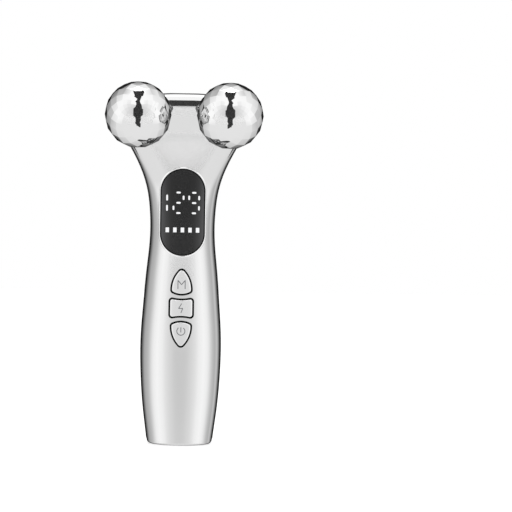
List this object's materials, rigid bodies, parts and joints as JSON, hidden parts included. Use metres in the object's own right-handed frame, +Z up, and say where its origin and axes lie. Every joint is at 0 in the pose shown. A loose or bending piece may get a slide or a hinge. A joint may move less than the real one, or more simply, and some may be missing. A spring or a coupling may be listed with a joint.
{
  "type": "pulse massager",
  "caption": "Hand-held pulse massager with a plated bent handle, a dark display, press buttons and faceted balls that turn on axles in front of the head.",
  "frame": {"origin": "centre of the flat base of the handle", "axes": "+Z up the handle to the head, -Y towards the display and the balls, +X to the right as seen from the display side"},
  "size_m": [0.0714, 0.0767, 0.1656],
  "materials": {
    "plated_abs": "bright chrome plating over moulded ABS",
    "smoked_lens": "polished dark acrylic",
    "lit_marks": "white light-guide faces, lit",
    "clear_guide": "milky light guide",
    "black_abs": "moulded black plastic",
    "white_acetal": "turned or moulded acetal",
    "steel": "ground stainless steel",
    "board_laminate": "solder-masked glass laminate",
    "battery_can": "heat-shrink wrap over a steel can",
    "foam": "closed-cell adhesive foam",
    "spring_brass": "rolled strip",
    "lead_cover": "extruded wire cover",
    "ferrite": "pressed ferrite and wound wire"
  },
  "bodies": {
    "handle": {"axle_bracket": "black_abs", "battery": "battery_can", "battery_holder": "black_abs", "battery_leads": "lead_cover", "battery_pad": "foam", "board_screws": "steel", "bracket_screws": "steel", "charge_board": "board_laminate", "charge_lead": "lead_cover", "charge_socket": "steel", "control_chip": "black_abs", "display_module": "black_abs", "display_segments": "lit_marks", "display_window": "smoked_lens", "front_shell": "plated_abs", "left_axle": "steel", "left_clip": "steel", "left_collar": "steel", "left_contact": "spring_brass", "left_lead": "lead_cover", "left_washer": "steel", "level_switch": "black_abs", "light_guide": "clear_guide", "main_board": "board_laminate", "mode_switch": "black_abs", "power_switch": "black_abs", "pulse_transformer": "ferrite", "rear_shell": "plated_abs", "right_axle": "steel", "right_clip": "steel", "right_collar": "steel", "right_contact": "spring_brass", "right_lead": "lead_cover", "right_washer": "steel"},
    "left_roller": {"left_ball": "plated_abs", "left_hub": "white_acetal", "left_rear_bush": "white_acetal", "left_front_bush": "white_acetal"},
    "right_roller": {"right_ball": "plated_abs", "right_hub": "white_acetal", "right_rear_bush": "white_acetal", "right_front_bush": "white_acetal"},
    "mode_key": {"mode_button": "plated_abs", "mode_plunger": "black_abs"},
    "level_key": {"level_button": "plated_abs", "level_plunger": "black_abs"},
    "power_key": {"power_button": "plated_abs", "power_plunger": "black_abs"}
  },
  "joints": [
    {"name": "left_spin", "type": "hinge", "parent": "handle", "child": "left_roller", "pos_m": [-0.0207, -0.0425, 0.151], "axis": [0, -1, 0], "continuous": true},
    {"name": "right_spin", "type": "hinge", "parent": "handle", "child": "right_roller", "pos_m": [0.0207, -0.0425, 0.151], "axis": [0, -1, 0], "continuous": true},
    {"name": "mode_press", "type": "slide", "parent": "handle", "child": "mode_key", "axis": [0, 1, 0], "range_m": [0, 0.0005], "stiffness_N_per_m": 2000},
    {"name": "level_press", "type": "slide", "parent": "handle", "child": "level_key", "axis": [0, 1, 0], "range_m": [0, 0.0005], "stiffness_N_per_m": 2000},
    {"name": "power_press", "type": "slide", "parent": "handle", "child": "power_key", "axis": [0, 1, 0], "range_m": [0, 0.0005], "stiffness_N_per_m": 2000}
  ]
}
